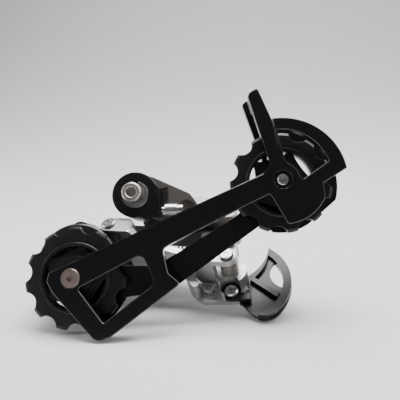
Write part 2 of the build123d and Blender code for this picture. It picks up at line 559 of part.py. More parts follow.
with BuildPart() as cable_fan:
    with BuildSketch(link.offset(WEB_LOW)):
        with BuildLine():
            fan_outline()
        make_face()
        with Locations(INNER_B):
            Circle(HUB_CLEAR, mode=Mode.SUBTRACT)
    extrude(amount=WEB_HIGH - WEB_LOW)
    # deep rim along the cable arc and round the heel
    with BuildSketch(link.offset(FAN_BOTTOM)):
        with BuildLine():
            fan_outline()
        make_face()
        with Locations(FAN_CENTRE):
            Circle(FAN_R - RIM_W, mode=Mode.SUBTRACT)
        with Locations(between(FAN_CENTRE, (38.4, -31.0), 0.9)):
            Circle(16.0, mode=Mode.SUBTRACT)
    extrude(amount=FAN_TOP - FAN_BOTTOM)
    # wall along the hollow top edge
    with BuildSketch(link.offset(WEB_LOW)):
        with BuildLine():
            ThreePointArc((51.8, -23.4), (58.4, -18.0), FAN_TIP)
            Line(FAN_TIP, polar(FAN_R - 3, 45, FAN_CENTRE))
            ThreePointArc(polar(FAN_R - 3, 45, FAN_CENTRE), (59.2, -20.4), (53.2, -26.2))
            Line((53.2, -26.2), (51.8, -23.4))
        make_face()
    extrude(amount=FAN_TOP - WEB_LOW)
    # rib across the web
    with BuildSketch(link.offset(WEB_LOW)):
        with BuildLine():
            Polyline((52.4, -26.4), (53.9, -24.2), (67.0, -36.4), (65.4, -39.0), close=True)
        make_face()
    extrude(amount=FAN_TOP + 0.8 - WEB_LOW)
    # ear under the screw
    with BuildSketch(seat(FAN_SCREW, WEB_LOW, link)):
        Circle(FAN_EAR_R)
        with BuildLine():
            Polyline((0, -FAN_EAR_R), (9.4, -FAN_EAR_R - 0.6), (9.4, -2.0), (0, 0), close=True)
        make_face()
    extrude(amount=FAN_TOP + 1 - WEB_LOW)
    with BuildSketch(seat(INNER_B, BRACKET_FLOOR - 5, link)):
        Circle(HUB_CLEAR - 0.2)
        with Locations((FAN_SCREW[0] - INNER_B[0], FAN_SCREW[1] - INNER_B[1])):
            Circle(FAN_EAR_R + 0.1, mode=Mode.SUBTRACT)
    extrude(amount=15, mode=Mode.SUBTRACT)
    # bracket floor passes under the ear
    with BuildSketch(link.offset(BRACKET_LOW - 3)):
        with BuildLine():
            Polyline((18, -19), (18, -37), (46.3, -38.7), (51.3, -30), (46, -19), close=True)
        make_face()
    extrude(amount=BRACKET_FLOOR + SEAT - BRACKET_LOW + 3, mode=Mode.SUBTRACT)
    # crescent window
    with BuildSketch(link.offset(FAN_BOTTOM - 1)):
        with BuildLine():
            ThreePointArc(polar(FAN_R - RIM_W, 30, FAN_CENTRE), polar(FAN_R - RIM_W, 5, FAN_CENTRE),
                          polar(FAN_R - RIM_W, -14, FAN_CENTRE))
            ThreePointArc(polar(FAN_R - RIM_W, -14, FAN_CENTRE), polar(FAN_R - RIM_W - 6, 2, FAN_CENTRE),
                          polar(FAN_R - RIM_W, 30, FAN_CENTRE))
        make_face()
    extrude(amount=10, mode=Mode.SUBTRACT)
    # screw hole and cable groove
    with BuildSketch(seat(FAN_SCREW, FAN_BOTTOM - 1, link)):
        Circle(1.5 + SEAT)
    extrude(amount=12, mode=Mode.SUBTRACT)
    fan_axis = seat(FAN_CENTRE, (FAN_TOP + FAN_BOTTOM) / 2, link)
    revolve(turned(fan_axis, (FAN_R - 1.4, -0.5), (FAN_R - 1.4, 0.5), (FAN_R + 2, 1.6), (FAN_R + 2, -1.6)),
            axis=axis_of(fan_axis), mode=Mode.SUBTRACT)
cable_fan.part.label = "cable_fan"
export_step(cable_fan.part, "parts/cable_fan.step")

# ---- fan screw, cable anchor bolt and its washer ------------------------------------------------
fan_seat = seat(FAN_SCREW, FAN_TOP + 1, link)
with BuildPart() as fan_screw:
    revolve(turned(fan_seat, (0, BRACKET_LOW - FAN_TOP - 1), (1.5, BRACKET_LOW - FAN_TOP - 1), (1.5, SEAT),
                   (3.5, SEAT), (3.5, 1.0), (2.9, 1.7), (0, 1.7)), axis=axis_of(fan_seat))
    with BuildSketch(fan_seat.offset(0.5)):
        RegularPolygon(1.25, 6)
    extrude(amount=2, mode=Mode.SUBTRACT)
fan_screw.part.label = "fan_screw"
export_step(fan_screw.part, "parts/fan_screw.step")

anchor_seat = seat(ANCHOR, BRACKET_FLOOR, link)
WASHER_T = 1.2
with BuildPart() as anchor_washer:
    with BuildSketch(anchor_seat.offset(SEAT)):
        RectangleRounded(6.0, 7.4, 1.2)
        Circle(ANCHOR_R + SEAT, mode=Mode.SUBTRACT)
    extrude(amount=WASHER_T)
    with BuildSketch(Plane(origin=anchor_seat.from_local_coords((-2.6, -5, SEAT)), x_dir=anchor_seat.x_dir,
                           z_dir=anchor_seat.y_dir)):
        Circle(0.6)
    extrude(amount=10, mode=Mode.SUBTRACT)
anchor_washer.part.label = "anchor_washer"
export_step(anchor_washer.part, "parts/anchor_washer.step")

with BuildPart() as anchor_bolt:
    washer_top = WASHER_T + 2 * SEAT
    revolve(turned(anchor_seat, (0, BRACKET_LOW - BRACKET_FLOOR), (ANCHOR_R, BRACKET_LOW - BRACKET_FLOOR),
                   (ANCHOR_R, washer_top), (3.1, washer_top), (3.1, washer_top + 2.4),
                   (2.7, washer_top + 2.8),
                   (0, washer_top + 2.8)), axis=axis_of(anchor_seat))
    with BuildSketch(anchor_seat.offset(washer_top + 1)):
        RegularPolygon(1.9, 6)
    extrude(amount=3, mode=Mode.SUBTRACT)
anchor_bolt.part.label = "anchor_bolt"
export_step(anchor_bolt.part, "parts/anchor_bolt.step")

# ---- spring knuckle: drum for the cage spring, clutch housing behind, tongue for the links -------
DRUM_R = 20.0
DRUM_FRONT, DRUM_BACK = OUTER_Z - 0.5, -14.0
HOUSING_R, HOUSING_BACK = 13.5, -23.0
SPINDLE_R = 6.0
SPINDLE_BUSH_R = SPINDLE_R + RUN + BUSH_T
SLEEVE_R = SPINDLE_BUSH_R + 1.2
CAVITY_R, CAVITY_BACK = 15.4, -11.0
CLUTCH_R = 9.8
LOCK_PLACE = (CAGE_PIVOT[0] + 0.3, CAGE_PIVOT[1] + 16.0)
LOCK_LOBE_R, LOCK_R = 5.2, 2.4
LOCK_FRONT, LOCK_BACK, LOCK_TRAVEL = 3.4, DRUM_BACK, 2.0
STOP_PIN_REACH, STOP_PIN_R, STOP_PIN_ANGLE = 22.6, 2.0, -45.0
STOP_LUG_REACH = 24.9
COVER_SCREWS, COVER_SCREW_REACH, COVER_SCREW_R = 3, 11.6, 1.1
spindle_seat = seat(CAGE_PIVOT, 0)
spindle_axis = axis_of(spindle_seat)
lug_start = STOP_PIN_ANGLE + degrees((STOP_PIN_R + 0.35) / STOP_PIN_REACH)
with BuildPart() as spring_knuckle:
    revolve(turned(spindle_seat, (0, HOUSING_BACK), (HOUSING_R, HOUSING_BACK), (HOUSING_R, DRUM_BACK),
                   (DRUM_R - 1.6, DRUM_BACK), (DRUM_R, DRUM_BACK + 1.6), (DRUM_R, DRUM_FRONT - 0.7),
                   (DRUM_R - 0.7, DRUM_FRONT), (0, DRUM_FRONT)), axis=spindle_axis)
    with BuildSketch(seat(LOCK_PLACE, LOCK_BACK)):
        Circle(LOCK_LOBE_R)
    extrude(amount=LOCK_FRONT - LOCK_BACK)
    with BuildSketch(seat(CAGE_PIVOT, -4)):
        with BuildLine():
            Line(polar(18, lug_start), polar(STOP_LUG_REACH, lug_start))
            ThreePointArc(polar(STOP_LUG_REACH, lug_start), polar(STOP_LUG_REACH, lug_start + 6),
                          polar(STOP_LUG_REACH, lug_start + 12))
            Line(polar(STOP_LUG_REACH, lug_start + 12), polar(18, lug_start + 12))
            Line(polar(18, lug_start + 12), polar(18, lug_start))
        make_face()
    extrude(amount=DRUM_FRONT + 4)
    # tongue for both link pins and the rib that ties it to the drum
    with BuildSketch(link.offset(TONGUE_LOW)):
        with Locations(between(INNER_P, OUTER_P, 0.5)):
            SlotCenterToCenter(PIN_STEP, 2 * EAR_R, rotation=90)
    extrude(amount=TONGUE_HIGH - TONGUE_LOW)
    with BuildSketch(link.offset(TONGUE_LOW)):
        with Locations(INNER_P):
            Circle(EAR_R)
        with BuildLine():
            Polyline(polar(EAR_R, 136, INNER_P), (-27, -12), (-27, -22), polar(EAR_R, -44, INNER_P),
                     close=True)
        make_face()
    extrude(amount=TOP_P - EAR_T - AIR - TONGUE_LOW)
    # pockets for the ears of the links
    pin_hole(INNER_P, EAR_POCKET_R, TOP_P - EAR_T - AIR, 20)
    for pin in (INNER_P, OUTER_P):
        pin_hole(pin, EAR_POCKET_R, BOTTOM - 20, TONGUE_LOW)
        pin_hole(pin, PIN_R + SEAT, BOTTOM - 1, 0)
    # spindle bore, spring cavity, clutch chamber, lock bore, cover screw threads
    with BuildSketch(seat(CAGE_PIVOT, HOUSING_BACK - 1)):
        Circle(SPINDLE_BUSH_R + SEAT)
    extrude(amount=DRUM_FRONT - HOUSING_BACK + 2, mode=Mode.SUBTRACT)
    with BuildSketch(seat(CAGE_PIVOT, CAVITY_BACK)):
        Circle(CAVITY_R)
        Circle(SLEEVE_R, mode=Mode.SUBTRACT)
        with Locations((LOCK_PLACE[0] - CAGE_PIVOT[0], LOCK_PLACE[1] - CAGE_PIVOT[1])):
            Circle(LOCK_R + 1.4, mode=Mode.SUBTRACT)
    extrude(amount=DRUM_FRONT - CAVITY_BACK + 1, mode=Mode.SUBTRACT)
    with BuildSketch(seat(CAGE_PIVOT, HOUSING_BACK - 1)):
        Circle(CLUTCH_R)
    extrude(amount=DRUM_BACK - HOUSING_BACK, mode=Mode.SUBTRACT)
    with BuildSketch(seat(CAGE_PIVOT, HOUSING_BACK - 20)):
        Circle(HOUSING_R + AIR)
    extrude(amount=20, mode=Mode.SUBTRACT)
    with BuildSketch(seat(LOCK_PLACE, LOCK_BACK - 12)):
        Circle(LOCK_R + RUN)
    extrude(amount=36, mode=Mode.SUBTRACT)
    with BuildSketch(seat(LOCK_PLACE, LOCK_BACK - 12)):
        Circle(LOCK_R + 1.0 + AIR)
    extrude(amount=12, mode=Mode.SUBTRACT)
    with BuildSketch(seat(CAGE_PIVOT, HOUSING_BACK - 1)):
        with PolarLocations(COVER_SCREW_REACH, COVER_SCREWS, start_angle=90):
            Circle(COVER_SCREW_R + SEAT)
    extrude(amount=7, mode=Mode.SUBTRACT)
spring_knuckle.part.label = "spring_knuckle"
export_step(spring_knuckle.part, "parts/spring_knuckle.step")

# ---- spindle and its bushes, cage spring, roller clutch, cover and cover screws ----------------
STUB_R = 3.4
with BuildPart() as cage_spindle:
    revolve(turned(spindle_seat, (0, HOUSING_BACK + 0.6), (SPINDLE_R - 0.5, HOUSING_BACK + 0.6),
                   (SPINDLE_R, HOUSING_BACK + 1.1), (SPINDLE_R, OUTER_Z - SEAT), (STUB_R, OUTER_Z - SEAT),
                   (STUB_R, OUTER_Z + PLATE_T - 0.2), (0, OUTER_Z + PLATE_T - 0.2)), axis=spindle_axis)
cage_spindle.part.label = "cage_spindle"
export_step(cage_spindle.part, "parts/cage_spindle.step")

with BuildPart() as spindle_bushes:
    for low, high in ((DRUM_BACK + 0.2, DRUM_BACK + 7.2), (DRUM_FRONT - 7.2, DRUM_FRONT - 0.2)):
        revolve(tube(spindle_seat, SPINDLE_R + RUN, SPINDLE_BUSH_R, low, high), axis=spindle_axis)
spindle_bushes.part.label = "spindle_bushes"
export_step(spindle_bushes.part, "parts/spindle_bushes.step")

CAGE_COIL_R, CAGE_WIRE, CAGE_TURNS = 10.6, 1.1, 5
coil_low, coil_high = CAVITY_BACK + CAGE_WIRE + 0.2, DRUM_FRONT - CAGE_WIRE - 0.6
with BuildPart() as cage_spring:
    with BuildLine():
        turns = Helix((coil_high - coil_low) / CAGE_TURNS, coil_high - coil_low, CAGE_COIL_R,
                      center=base.from_local_coords((*CAGE_PIVOT, coil_low)), direction=base.z_dir)
    with BuildSketch(Plane(origin=turns @ 0, z_dir=turns % 0)):
        Circle(CAGE_WIRE)
    sweep(path=turns)
cage_spring.part.label = "cage_spring"
export_step(cage_spring.part, "parts/cage_spring.step")

HUB_WALL, ROLLERS, ROLLER_R = 1.0, 8, 0.85
CHAMBER_LOW, CHAMBER_HIGH = HOUSING_BACK + 1.6, DRUM_BACK - 1.4
hub_r = SPINDLE_R + SEAT + HUB_WALL
with BuildPart() as clutch_hub:
    revolve(tube(spindle_seat, SPINDLE_R + SEAT, hub_r, CHAMBER_LOW, CHAMBER_HIGH), axis=spindle_axis)
clutch_hub.part.label = "clutch_hub"
export_step(clutch_hub.part, "parts/clutch_hub.step")

with BuildPart() as clutch_rollers:
    with BuildSketch(seat(CAGE_PIVOT, CHAMBER_LOW + 0.2)):
        with PolarLocations(hub_r + RUN + ROLLER_R, ROLLERS):
            Circle(ROLLER_R)
    extrude(amount=CHAMBER_HIGH - CHAMBER_LOW - 0.4)
clutch_rollers.part.label = "clutch_rollers"
export_step(clutch_rollers.part, "parts/clutch_rollers.step")

band_r = hub_r + RUN + 2 * ROLLER_R + SEAT
with BuildPart() as clutch_band:
    with BuildSketch(seat(CAGE_PIVOT, CHAMBER_LOW)):
        Circle(CLUTCH_R - SEAT)
        Circle(band_r, mode=Mode.SUBTRACT)
        with Locations((band_r, 0)):
            Rectangle(4, 1.2, mode=Mode.SUBTRACT)
    extrude(amount=CHAMBER_HIGH - CHAMBER_LOW)
clutch_band.part.label = "clutch_band"
export_step(clutch_band.part, "parts/clutch_band.step")

COVER_T = 2.2
with BuildPart() as clutch_cover:
    revolve(turned(seat(CAGE_PIVOT, HOUSING_BACK - SEAT), (0, -COVER_T), (HOUSING_R - 0.8, -COVER_T),
                   (HOUSING_R, -COVER_T + 0.8), (HOUSING_R, 0), (0, 0)), axis=spindle_axis)
    with BuildSketch(seat(CAGE_PIVOT, HOUSING_BACK - COVER_T - 1)):
        with PolarLocations(COVER_SCREW_REACH, COVER_SCREWS, start_angle=90):
            Circle(COVER_SCREW_R + SEAT)
    extrude(amount=COVER_T + 2, mode=Mode.SUBTRACT)
clutch_cover.part.label = "clutch_cover"
export_step(clutch_cover.part, "parts/clutch_cover.step")

with BuildPart() as cover_screws:
    for number in range(COVER_SCREWS):
        place = polar(COVER_SCREW_REACH, 90 + number * 360 / COVER_SCREWS, CAGE_PIVOT)
        spot = seat(place, HOUSING_BACK - COVER_T - 2 * SEAT)
        revolve(turned(spot, (0, -1.2), (1.5, -1.2), (1.9, -0.8), (1.9, 0), (COVER_SCREW_R, 0),
                       (COVER_SCREW_R, COVER_T + 4), (0, COVER_T + 4)), axis=axis_of(spot))
cover_screws.part.label = "cover_screws"
export_step(cover_screws.part, "parts/cover_screws.step")

lock_seat = seat(LOCK_PLACE, 0)
with BuildPart() as lock_button:
    revolve(turned(lock_seat, (0, LOCK_BACK - 3.6), (3.0, LOCK_BACK - 3.6), (3.4, LOCK_BACK - 3.2),
                   (3.4, LOCK_BACK - LOCK_TRAVEL - 0.2), (LOCK_R, LOCK_BACK - LOCK_TRAVEL - 0.2),
                   (LOCK_R, LOCK_FRONT - 0.5), (LOCK_R - 0.4, LOCK_FRONT - 0.1), (1.2, LOCK_FRONT - 0.1),
                   (1.0, LOCK_FRONT - 0.7), (0, LOCK_FRONT - 0.7)), axis=axis_of(lock_seat))
lock_button.part.label = "lock_button"
export_step(lock_button.part, "parts/lock_button.step")

# ---- cage plates ---------------------------------------------------------------------------------
SHAFT_R = 2.6                # both pulley bolts
HEAD_BORE_R, HEAD_BORE_T = 4.7, 1.9
WINDOW_R = 23.3
PLATE_BEVEL = 0.35


def sector(radius, start, end, *corners):
    """A round-edged field about the tension pulley: the arc, then the corners back to its start."""
    first, last = polar(radius, start, TENSION), polar(radius, end, TENSION)
    with BuildLine() as edge:
        ThreePointArc(first, polar(radius, (start + end) / 2, TENSION), last)
        Polyline(last, *corners, first)
    return make_face(edge.line.edges(), mode=Mode.PRIVATE)


FINGER_LIP_DEPTH = 8.0
with BuildPart() as inner_plate:
    with BuildSketch(base.offset(INNER_Z)):
        with BuildLine():
            FilletPolyline(from_guide(-10.0, 2.5), from_guide(-10.9, -1.6), from_guide(-7.4, -7.0),
                           from_guide(13.2, -28.0), from_guide(20.0, -25.4), from_guide(50.6, -2.2),
                           from_guide(44.9, 2.4), from_guide(42.2, 13.4), from_tension(-17.6, -12.2),
                           from_tension(-6.6, -7.0), from_tension(2, 2), from_tension(-4.8, 8.2),
                           from_tension(-8.8, 2.9),
                           radius=[1.2, 1.2, 1.2, 4.5, 6, 1.5, 1.2, 2, 6, 1, 0.5, 0.5, 2], close=True)
        make_face()
        with BuildLine():
            FilletPolyline(from_tension(-5.4, 6.2), from_tension(-15.5, 40.2), from_tension(-14.6, 42.3),
                           from_tension(-10.9, 44.7), from_tension(-4.4, 28.8), from_tension(2, 0),
                           radius=[0.5, 1, 1, 1.2, 0.5, 0.5], close=True)
        make_face()
        add(sector(29.6, 10, 98, from_tension(-1, 8), from_tension(0, -2), from_tension(18.2, -1.8)))
        add(sector(20.6, -85, -24, from_tension(18.2, -1.0), from_tension(0, 4), from_tension(-8, -5),
                   from_tension(-5.2, -8.2)))
        # quarter window beside the tension pulley
        with BuildLine():
            ThreePointArc(polar(WINDOW_R + 0.6, 84, TENSION), polar(WINDOW_R, 53, TENSION),
                          polar(WINDOW_R - 0.6, 22, TENSION))
            Line(polar(WINDOW_R - 0.6, 22, TENSION), from_tension(9.4, 0.3))
            Line(from_tension(9.4, 0.3), polar(7.9, 8, TENSION))
            ThreePointArc(polar(7.9, 8, TENSION), polar(7.9, 40, TENSION), polar(8.2, 74, TENSION))
            Line(polar(8.2, 74, TENSION), from_tension(1.0, 10.0))
            Line(from_tension(1.0, 10.0), from_tension(-2.2, 23.8))
            Line(from_tension(-2.2, 23.8), polar(WINDOW_R + 0.6, 84, TENSION))
        make_face(mode=Mode.SUBTRACT)
        # large opening beside the guide pulley
        with BuildLine():
            FilletPolyline(from_guide(3.6, -4.6), from_guide(33.0, 11.0), from_guide(38.9, -2.2),
                           from_guide(16.1, -19.8), radius=[1.2, 3, 2, 0.8], close=True)
        make_face(mode=Mode.SUBTRACT)
        with Locations(GUIDE, TENSION):
            Circle(SHAFT_R + SEAT, mode=Mode.SUBTRACT)
    extrude(amount=PLATE_T)
    chamfer(top_face(inner_plate).edges(), PLATE_BEVEL)
    # lip at the finger's tip, and the turned-in foot of the lower corner
    with BuildSketch(base.offset(INNER_Z + PLATE_T - FINGER_LIP_DEPTH)):
        with BuildLine():
            Polyline(from_tension(-13.4, 33.6), from_tension(-15.3, 39.8), from_tension(-14.6, 41.9),
                     from_tension(-11.6, 43.9), from_tension(-10.9, 41.6), from_tension(-12.6, 40.4),
                     from_tension(-12.9, 39.8), from_tension(-11.2, 34.2), close=True)
        make_face()
    extrude(amount=FINGER_LIP_DEPTH - PLATE_T + 0.5)
    with BuildSketch(base.offset(INNER_Z - 3.0)):
        with BuildLine():
            FilletPolyline(from_guide(9.4, -23.2), from_guide(13.6, -27.4), from_guide(19.9, -24.9),
                           from_guide(30.2, -17.2), from_guide(28.9, -15.6), from_guide(18.6, -23.2),
                           from_guide(14.2, -24.9), from_guide(11.2, -21.8),
                           radius=[0.5, 3.6, 4, 0.5, 0.5, 2.5, 1.6, 0.5], close=True)
        make_face()
    extrude(amount=3.5)
    with BuildSketch(seat(GUIDE, INNER_Z + PLATE_T - HEAD_BORE_T)):
        Circle(HEAD_BORE_R)
    extrude(amount=3, mode=Mode.SUBTRACT)
    with BuildSketch(seat(TENSION, INNER_Z + PLATE_T - 0.8)):
        Circle(HEAD_BORE_R - 0.3)
    extrude(amount=3, mode=Mode.SUBTRACT)
inner_plate.part.label = "inner_plate"
export_step(inner_plate.part, "parts/inner_plate.step")

stop_pin_place = polar(STOP_PIN_REACH, STOP_PIN_ANGLE, CAGE_PIVOT)
with BuildPart() as outer_plate:
    with BuildSketch(base.offset(OUTER_Z)):
        with Locations(CAGE_PIVOT):
            Circle(13.5)
        with Locations(GUIDE):
            Circle(12.0)
        with BuildLine():
            ThreePointArc(polar(25, -63, GUIDE), polar(25, -40, GUIDE), polar(25, -22, GUIDE))
            Polyline(polar(25, -22, GUIDE), from_guide(31.5, -8.2), from_guide(48.4, -3.3),
                     from_tension(-10.3, -20.5), from_tension(-1.5, -23.4), from_tension(2, 2),
                     from_tension(-9.5, -6.0), from_tension(-23.8, -17.2), from_guide(42.6, 8.7),
                     from_guide(36, 5.5), from_guide(17, 5.5), from_guide(6, 16), from_guide(-6, 10),
                     polar(25, -63, GUIDE))
        make_face()
        add(sector(28.0, -16, 98, from_tension(-1, 8), from_tension(0, -8), from_tension(14, -19)))
        add(sector(23.6, -100, -52, from_tension(6, 0), from_tension(-4, 0)))
        with BuildLine():
            FilletPolyline(from_tension(-5.4, 4), from_tension(-17.5, 41.2), from_tension(-15.4, 43.4),
                           from_tension(-11.6, 41.6), from_tension(-4.4, 27.6), from_tension(2, 0),
                           radius=[0.5, 1, 1, 1, 0.5, 0.5], close=True)
        make_face()
        with BuildLine():
            ThreePointArc(polar(20.8, 88, TENSION), polar(20.8, 48, TENSION), polar(20.8, 8, TENSION))
            Line(polar(20.8, 8, TENSION), polar(9, 8, TENSION))
            ThreePointArc(polar(9, 8, TENSION), polar(9, 48, TENSION), polar(9, 88, TENSION))
            Line(polar(9, 88, TENSION), polar(20.8, 88, TENSION))
        make_face(mode=Mode.SUBTRACT)
        with Locations(GUIDE, TENSION):
            Circle(SHAFT_R + SEAT, mode=Mode.SUBTRACT)
        with Locations(CAGE_PIVOT):
            Circle(STUB_R + SEAT, mode=Mode.SUBTRACT)
        with Locations(stop_pin_place):
            Circle(STOP_PIN_R + SEAT, mode=Mode.SUBTRACT)
    extrude(amount=PLATE_T)
outer_plate.part.label = "outer_plate"
export_step(outer_plate.part, "parts/outer_plate.step")

with BuildPart() as stop_pin:
    spot = seat(stop_pin_place, 0)
    revolve(turned(spot, (0, 0.8), (STOP_PIN_R - 0.3, 0.8), (STOP_PIN_R, 1.1),
                   (STOP_PIN_R, OUTER_Z + PLATE_T - 0.1),
                   (0, OUTER_Z + PLATE_T - 0.1)), axis=axis_of(spot))
stop_pin.part.label = "stop_pin"
export_step(stop_pin.part, "parts/stop_pin.step")

# ---- pulleys, their cartridge bearings, dust caps and bolts ------------------------------------
PITCH_R = CHAIN_PITCH / (2 * sin(pi / TEETH))
TIP_R = PITCH_R + 1.7
GAP_R, GAP_REACH = 5.0, PITCH_R + 3.4
TOOTH_T, RIM_T, RIM_R, RIM_WALL = 3.0, 6.0, 16.7, 1.5
PULLEY_Z = (OUTER_Z + PLATE_T + INNER_Z) / 2
RACE_R, RACE_T = 8.4, 4.6
HUB_R = RACE_R + 1.8
BALLS, BALL_R = 8, 1.15
BALL_REACH = 5.7
WINDOWS = 5


def make_pulley(centre, name, turn):
    """One toothed pulley with its rim, hub and swirled windows."""
    with BuildPart() as pulley:
        with BuildSketch(seat(centre, PULLEY_Z - TOOTH_T / 2)):
            Circle(TIP_R)
            with PolarLocations(GAP_REACH, TEETH, start_angle=turn):
                Circle(GAP_R, mode=Mode.SUBTRACT)
            Circle(RIM_R - RIM_WALL, mode=Mode.SUBTRACT)
        extrude(amount=TOOTH_T)
        middle = seat(centre, PULLEY_Z)
        for side in (1, -1):
            revolve(turned(middle, (TIP_R - 1.3, side * TOOTH_T / 2),
                           (TIP_R + 1, side * (TOOTH_T / 2 - 1.2)),
                           (TIP_R + 1, side * TOOTH_T)), axis=axis_of(middle), mode=Mode.SUBTRACT)
        revolve(turned(middle, (RIM_R - RIM_WALL, -RIM_T / 2), (RIM_R - 0.4, -RIM_T / 2),
                       (RIM_R, -RIM_T / 2 + 0.6),
                       (RIM_R, RIM_T / 2 - 0.6), (RIM_R - 0.4, RIM_T / 2), (RIM_R - RIM_WALL, RIM_T / 2)),
                axis=axis_of(middle))
        revolve(tube(middle, RACE_R + SEAT, HUB_R, -RIM_T / 2 + 0.3, RIM_T / 2 - 0.3),
                axis=axis_of(middle))
        with BuildSketch(seat(centre, PULLEY_Z - TOOTH_T / 2)):
            Circle(RIM_R - RIM_WALL + 0.2)
            Circle(HUB_R - 0.2, mode=Mode.SUBTRACT)
        extrude(amount=TOOTH_T)
        with BuildSketch(seat(centre, PULLEY_Z - RIM_T)):
            for number in range(WINDOWS):
                lead = turn + number * 360 / WINDOWS
                with BuildLine():
                    ThreePointArc(polar(14.8, lead), polar(14.8, lead + 31), polar(14.8, lead + 62))
                    ThreePointArc(polar(14.8, lead + 62), polar(12.0, lead + 24), polar(14.8, lead))
                make_face()
        extrude(amount=2 * RIM_T, mode=Mode.SUBTRACT)
    pulley.part.label = f"{name}_pulley"
    export_step(pulley.part, f"parts/{name}_pulley.step")


def make_bearing(centre, name):
    """Cartridge bearing: two grooved races and eight balls, with a steel cap on each side."""
    middle = seat(centre, PULLEY_Z)
    axis = axis_of(middle)
    half = RACE_T / 2
    with BuildPart() as outer_race:
        revolve(tube(middle, 6.5, RACE_R, -half, half), axis=axis)
        with Locations(middle):
            Torus(BALL_REACH, BALL_R + 0.05, mode=Mode.SUBTRACT)
    outer_race.part.label = f"{name}_outer_race"
    export_step(outer_race.part, f"parts/{name}_outer_race.step")
    with BuildPart() as inner_race:
        revolve(tube(middle, SHAFT_R + SEAT, 4.9, -half - 0.1, half + 0.1), axis=axis)
        with Locations(middle):
            Torus(BALL_REACH, BALL_R + 0.05, mode=Mode.SUBTRACT)
    inner_race.part.label = f"{name}_inner_race"
    export_step(inner_race.part, f"parts/{name}_inner_race.step")
    with BuildPart() as balls:
        with Locations(middle):
            with PolarLocations(BALL_REACH, BALLS):
                Sphere(BALL_R)
    balls.part.label = f"{name}_balls"
    export_step(balls.part, f"parts/{name}_balls.step")
    reach = (INNER_Z - OUTER_Z - PLATE_T) / 2 - SEAT
    with BuildPart() as caps:
        for side in (1, -1):
            revolve(turned(middle, (SHAFT_R + SEAT, side * (half + 0.1 + SEAT)),
                           (4.2, side * (half + 0.1 + SEAT)),
                           (4.2, side * (RIM_T / 2 + 0.3)), (RACE_R + 0.4, side * (RIM_T / 2 + 0.3)),
                           (RACE_R + 0.4, side * (RIM_T / 2 + 0.9)), (4.6, side * (RIM_T / 2 + 1.1)),
                           (4.2, side * reach), (SHAFT_R + SEAT, side * reach)), axis=axis)
    caps.part.label = f"{name}_dust_caps"
    export_step(caps.part, f"parts/{name}_dust_caps.step")


for centre, name, turn in ((GUIDE, "guide", 11.0), (TENSION, "tension", 4.0)):
    make_pulley(centre, name, turn)
    make_bearing(centre, name)

front = INNER_Z + PLATE_T
guide_seat = seat(GUIDE, 0)
with BuildPart() as guide_bolt:
    revolve(turned(guide_seat, (0, OUTER_Z + 0.1), (SHAFT_R, OUTER_Z + 0.1),
                   (SHAFT_R, front - HEAD_BORE_T + SEAT),
                   (HEAD_BORE_R - 0.3, front - HEAD_BORE_T + SEAT), (HEAD_BORE_R - 0.3, front - 0.2),
                   (HEAD_BORE_R - 0.5, front), (0, front)), axis=axis_of(guide_seat))
    with BuildSketch(guide_seat.offset(front - 1.5)):
        RegularPolygon(1.7, 6)
    extrude(amount=2, mode=Mode.SUBTRACT)
guide_bolt.part.label = "guide_bolt"
export_step(guide_bolt.part, "parts/guide_bolt.step")

tension_seat = seat(TENSION, 0)
with BuildPart() as tension_bolt:
    revolve(turned(tension_seat, (0, OUTER_Z - 1.8), (HEAD_BORE_R - 0.8, OUTER_Z - 1.8),
                   (HEAD_BORE_R - 0.3, OUTER_Z - 1.3), (HEAD_BORE_R - 0.3, OUTER_Z - SEAT),
                   (SHAFT_R, OUTER_Z - SEAT), (SHAFT_R, front - 0.6), (SHAFT_R - 0.4, front - 0.2),
                   (0, front - 0.2)),
            axis=axis_of(tension_seat))
    with BuildSketch(tension_seat.offset(front - 1.7)):
        RegularPolygon(1.35, 6)
    extrude(amount=2, mode=Mode.SUBTRACT)
tension_bolt.part.label = "tension_bolt"
export_step(tension_bolt.part, "parts/tension_bolt.step")
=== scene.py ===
from math import pi

import bmesh
import bpy
from mathutils import Matrix, Vector


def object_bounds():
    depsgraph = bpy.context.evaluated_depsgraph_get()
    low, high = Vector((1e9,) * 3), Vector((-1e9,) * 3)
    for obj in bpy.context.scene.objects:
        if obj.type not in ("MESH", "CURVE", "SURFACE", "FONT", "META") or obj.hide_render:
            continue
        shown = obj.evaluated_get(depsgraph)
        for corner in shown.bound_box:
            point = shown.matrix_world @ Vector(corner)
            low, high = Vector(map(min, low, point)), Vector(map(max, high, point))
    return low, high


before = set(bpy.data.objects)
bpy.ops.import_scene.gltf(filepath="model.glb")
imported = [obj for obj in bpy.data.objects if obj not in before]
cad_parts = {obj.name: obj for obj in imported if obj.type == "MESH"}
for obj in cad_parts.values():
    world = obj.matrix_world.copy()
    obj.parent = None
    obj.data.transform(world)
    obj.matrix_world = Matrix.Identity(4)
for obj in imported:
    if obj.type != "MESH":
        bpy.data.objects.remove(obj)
cad_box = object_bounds()

# ---- Hanger bolt and its clip ------------------------------------------------------------------
# The M10 bolt that fixes the derailleur to the bicycle: machined steel, zinc plated and slightly
# warm in tone. A sprung wire clip sits at the root of the thread.


def new_group(name, inputs, outputs):
    """An empty shader node group with these (name, socket type, default) sockets."""
    tree = bpy.data.node_groups.new(name, "ShaderNodeTree")
    for label, kind, value in inputs:
        socket = tree.interface.new_socket(name=label, in_out="INPUT", socket_type=kind)
        socket.default_value = value
    for label, kind in outputs:
        tree.interface.new_socket(name=label, in_out="OUTPUT", socket_type=kind)
    return tree


def add_node(tree, kind, **settings):
    node = tree.nodes.new(kind)
    for key, value in settings.items():
        setattr(node, key, value)
    return node


